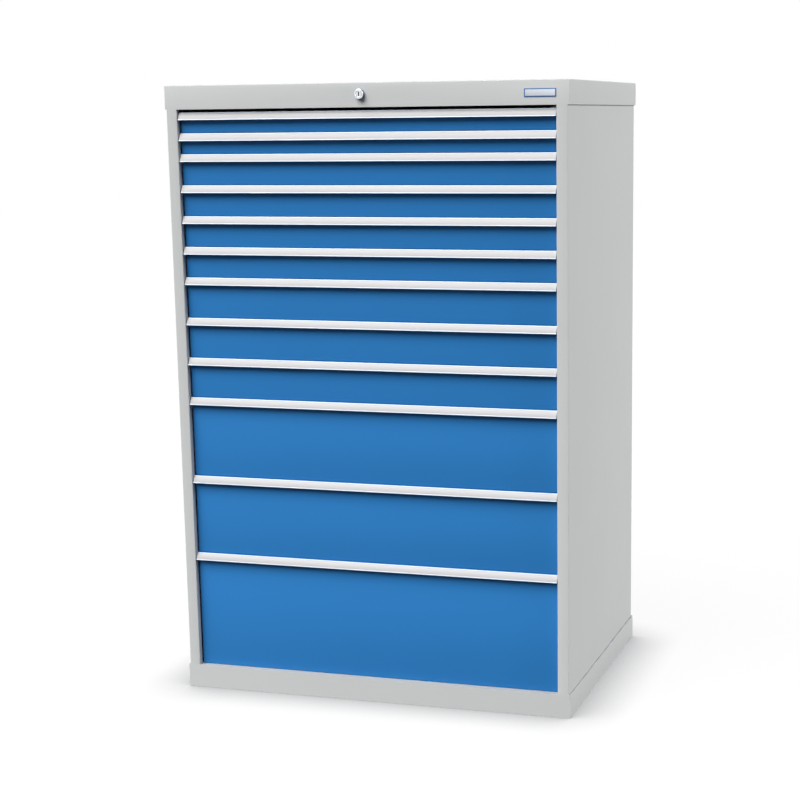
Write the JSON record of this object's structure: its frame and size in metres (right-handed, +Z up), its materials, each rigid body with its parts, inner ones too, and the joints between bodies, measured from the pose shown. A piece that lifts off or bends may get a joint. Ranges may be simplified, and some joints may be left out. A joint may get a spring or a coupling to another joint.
{
  "type": "multi-drawer cabinet",
  "caption": "Floor-standing steel drawer cabinet: grey folded housing, blue drawer fronts with full-width label handles, telescopic slides and a central key lock.",
  "frame": {"origin": "on the floor, under the middle of the housing", "axes": "+X to the right seen from the front, +Y into the cabinet, +Z up; drawers open along -Y"},
  "size_m": [1.013, 0.742, 1.519],
  "materials": {
    "housing_grey": "light grey powder coat, fine orange peel",
    "front_blue": "blue powder coat, fine orange peel",
    "tray_grey": "light grey powder coat",
    "handle_aluminium": "pale anodised extrusion with a plain label strip",
    "zinc_steel": "zinc-plated sheet",
    "lock_chrome": "polished nickel plate"
  },
  "bodies": {
    "housing": {"top_cover": "housing_grey", "left_side": "housing_grey", "right_side": "housing_grey", "back_panel": "housing_grey", "base_plinth": "housing_grey", "uprights": "zinc_steel", "cabinet_rails": "zinc_steel", "lock_barrel": "lock_chrome"},
    "drawer_01": {"drawer_01_tray": "tray_grey", "drawer_01_front": "front_blue", "drawer_01_handle": "handle_aluminium"},
    "drawer_01_slides": {"drawer_01_runners": "zinc_steel"},
    "drawer_02": {"drawer_02_tray": "tray_grey", "drawer_02_front": "front_blue", "drawer_02_handle": "handle_aluminium"},
    "drawer_02_slides": {"drawer_02_runners": "zinc_steel"},
    "drawer_03": {"drawer_03_tray": "tray_grey", "drawer_03_front": "front_blue", "drawer_03_handle": "handle_aluminium"},
    "drawer_03_slides": {"drawer_03_runners": "zinc_steel"},
    "drawer_04": {"drawer_04_tray": "tray_grey", "drawer_04_front": "front_blue", "drawer_04_handle": "handle_aluminium"},
    "drawer_04_slides": {"drawer_04_runners": "zinc_steel"},
    "drawer_05": {"drawer_05_tray": "tray_grey", "drawer_05_front": "front_blue", "drawer_05_handle": "handle_aluminium"},
    "drawer_05_slides": {"drawer_05_runners": "zinc_steel"},
    "drawer_06": {"drawer_06_tray": "tray_grey", "drawer_06_front": "front_blue", "drawer_06_handle": "handle_aluminium"},
    "drawer_06_slides": {"drawer_06_runners": "zinc_steel"},
    "drawer_07": {"drawer_07_tray": "tray_grey", "drawer_07_front": "front_blue", "drawer_07_handle": "handle_aluminium"},
    "drawer_07_slides": {"drawer_07_runners": "zinc_steel"},
    "drawer_08": {"drawer_08_tray": "tray_grey", "drawer_08_front": "front_blue", "drawer_08_handle": "handle_aluminium"},
    "drawer_08_slides": {"drawer_08_runners": "zinc_steel"},
    "drawer_09": {"drawer_09_tray": "tray_grey", "drawer_09_front": "front_blue", "drawer_09_handle": "handle_aluminium"},
    "drawer_09_slides": {"drawer_09_runners": "zinc_steel"},
    "drawer_10": {"drawer_10_tray": "tray_grey", "drawer_10_front": "front_blue", "drawer_10_handle": "handle_aluminium"},
    "drawer_10_slides": {"drawer_10_runners": "zinc_steel"},
    "drawer_11": {"drawer_11_tray": "tray_grey", "drawer_11_front": "front_blue", "drawer_11_handle": "handle_aluminium"},
    "drawer_11_slides": {"drawer_11_runners": "zinc_steel"},
    "drawer_12": {"drawer_12_tray": "tray_grey", "drawer_12_front": "front_blue", "drawer_12_handle": "handle_aluminium"},
    "drawer_12_slides": {"drawer_12_runners": "zinc_steel"},
    "lock_core": {"lock_plug": "lock_chrome", "lock_cam": "zinc_steel"},
    "link": {"link_bar": "zinc_steel"},
    "bolt_bar": {"locking_bar": "zinc_steel"}
  },
  "joints": [
    {"name": "drawer_01_pull", "type": "slide", "parent": "housing", "child": "drawer_01", "axis": [0, -1, 0], "range_m": [0, 0.6]},
    {"name": "drawer_01_runner_travel", "type": "slide", "parent": "housing", "child": "drawer_01_slides", "axis": [0, -1, 0], "range_m": [0, 0.3]},
    {"name": "drawer_02_pull", "type": "slide", "parent": "housing", "child": "drawer_02", "axis": [0, -1, 0], "range_m": [0, 0.6]},
    {"name": "drawer_02_runner_travel", "type": "slide", "parent": "housing", "child": "drawer_02_slides", "axis": [0, -1, 0], "range_m": [0, 0.3]},
    {"name": "drawer_03_pull", "type": "slide", "parent": "housing", "child": "drawer_03", "axis": [0, -1, 0], "range_m": [0, 0.6]},
    {"name": "drawer_03_runner_travel", "type": "slide", "parent": "housing", "child": "drawer_03_slides", "axis": [0, -1, 0], "range_m": [0, 0.3]},
    {"name": "drawer_04_pull", "type": "slide", "parent": "housing", "child": "drawer_04", "axis": [0, -1, 0], "range_m": [0, 0.6]},
    {"name": "drawer_04_runner_travel", "type": "slide", "parent": "housing", "child": "drawer_04_slides", "axis": [0, -1, 0], "range_m": [0, 0.3]},
    {"name": "drawer_05_pull", "type": "slide", "parent": "housing", "child": "drawer_05", "axis": [0, -1, 0], "range_m": [0, 0.6]},
    {"name": "drawer_05_runner_travel", "type": "slide", "parent": "housing", "child": "drawer_05_slides", "axis": [0, -1, 0], "range_m": [0, 0.3]},
    {"name": "drawer_06_pull", "type": "slide", "parent": "housing", "child": "drawer_06", "axis": [0, -1, 0], "range_m": [0, 0.6]},
    {"name": "drawer_06_runner_travel", "type": "slide", "parent": "housing", "child": "drawer_06_slides", "axis": [0, -1, 0], "range_m": [0, 0.3]},
    {"name": "drawer_07_pull", "type": "slide", "parent": "housing", "child": "drawer_07", "axis": [0, -1, 0], "range_m": [0, 0.6]},
    {"name": "drawer_07_runner_travel", "type": "slide", "parent": "housing", "child": "drawer_07_slides", "axis": [0, -1, 0], "range_m": [0, 0.3]},
    {"name": "drawer_08_pull", "type": "slide", "parent": "housing", "child": "drawer_08", "axis": [0, -1, 0], "range_m": [0, 0.6]},
    {"name": "drawer_08_runner_travel", "type": "slide", "parent": "housing", "child": "drawer_08_slides", "axis": [0, -1, 0], "range_m": [0, 0.3]},
    {"name": "drawer_09_pull", "type": "slide", "parent": "housing", "child": "drawer_09", "axis": [0, -1, 0], "range_m": [0, 0.6]},
    {"name": "drawer_09_runner_travel", "type": "slide", "parent": "housing", "child": "drawer_09_slides", "axis": [0, -1, 0], "range_m": [0, 0.3]},
    {"name": "drawer_10_pull", "type": "slide", "parent": "housing", "child": "drawer_10", "axis": [0, -1, 0], "range_m": [0, 0.6]},
    {"name": "drawer_10_runner_travel", "type": "slide", "parent": "housing", "child": "drawer_10_slides", "axis": [0, -1, 0], "range_m": [0, 0.3]},
    {"name": "drawer_11_pull", "type": "slide", "parent": "housing", "child": "drawer_11", "axis": [0, -1, 0], "range_m": [0, 0.6]},
    {"name": "drawer_11_runner_travel", "type": "slide", "parent": "housing", "child": "drawer_11_slides", "axis": [0, -1, 0], "range_m": [0, 0.3]},
    {"name": "drawer_12_pull", "type": "slide", "parent": "housing", "child": "drawer_12", "axis": [0, -1, 0], "range_m": [0, 0.6]},
    {"name": "drawer_12_runner_travel", "type": "slide", "parent": "housing", "child": "drawer_12_slides", "axis": [0, -1, 0], "range_m": [0, 0.3]},
    {"name": "lock_turn", "type": "hinge", "parent": "housing", "child": "lock_core", "pos_m": [0, -0.364, 1.4925], "axis": [0, 1, 0], "range_deg": [0, 90]},
    {"name": "link_travel", "type": "slide", "parent": "housing", "child": "link", "axis": [1, 0, 0], "range_m": [0, 0.009]},
    {"name": "bolt_bar_travel", "type": "slide", "parent": "housing", "child": "bolt_bar", "axis": [0, 0, -1], "range_m": [0, 0.009]}
  ],
  "couplings": [
    {"joint": "drawer_01_runner_travel", "follows": "drawer_01_pull", "ratio": 0.5},
    {"joint": "drawer_02_runner_travel", "follows": "drawer_02_pull", "ratio": 0.5},
    {"joint": "drawer_03_runner_travel", "follows": "drawer_03_pull", "ratio": 0.5},
    {"joint": "drawer_04_runner_travel", "follows": "drawer_04_pull", "ratio": 0.5},
    {"joint": "drawer_05_runner_travel", "follows": "drawer_05_pull", "ratio": 0.5},
    {"joint": "drawer_06_runner_travel", "follows": "drawer_06_pull", "ratio": 0.5},
    {"joint": "drawer_07_runner_travel", "follows": "drawer_07_pull", "ratio": 0.5},
    {"joint": "drawer_08_runner_travel", "follows": "drawer_08_pull", "ratio": 0.5},
    {"joint": "drawer_09_runner_travel", "follows": "drawer_09_pull", "ratio": 0.5},
    {"joint": "drawer_10_runner_travel", "follows": "drawer_10_pull", "ratio": 0.5},
    {"joint": "drawer_11_runner_travel", "follows": "drawer_11_pull", "ratio": 0.5},
    {"joint": "drawer_12_runner_travel", "follows": "drawer_12_pull", "ratio": 0.5},
    {"joint": "lock_turn", "follows": "bolt_bar_travel", "rad_per_m": 174.53},
    {"joint": "link_travel", "follows": "bolt_bar_travel", "ratio": 1}
  ]
}
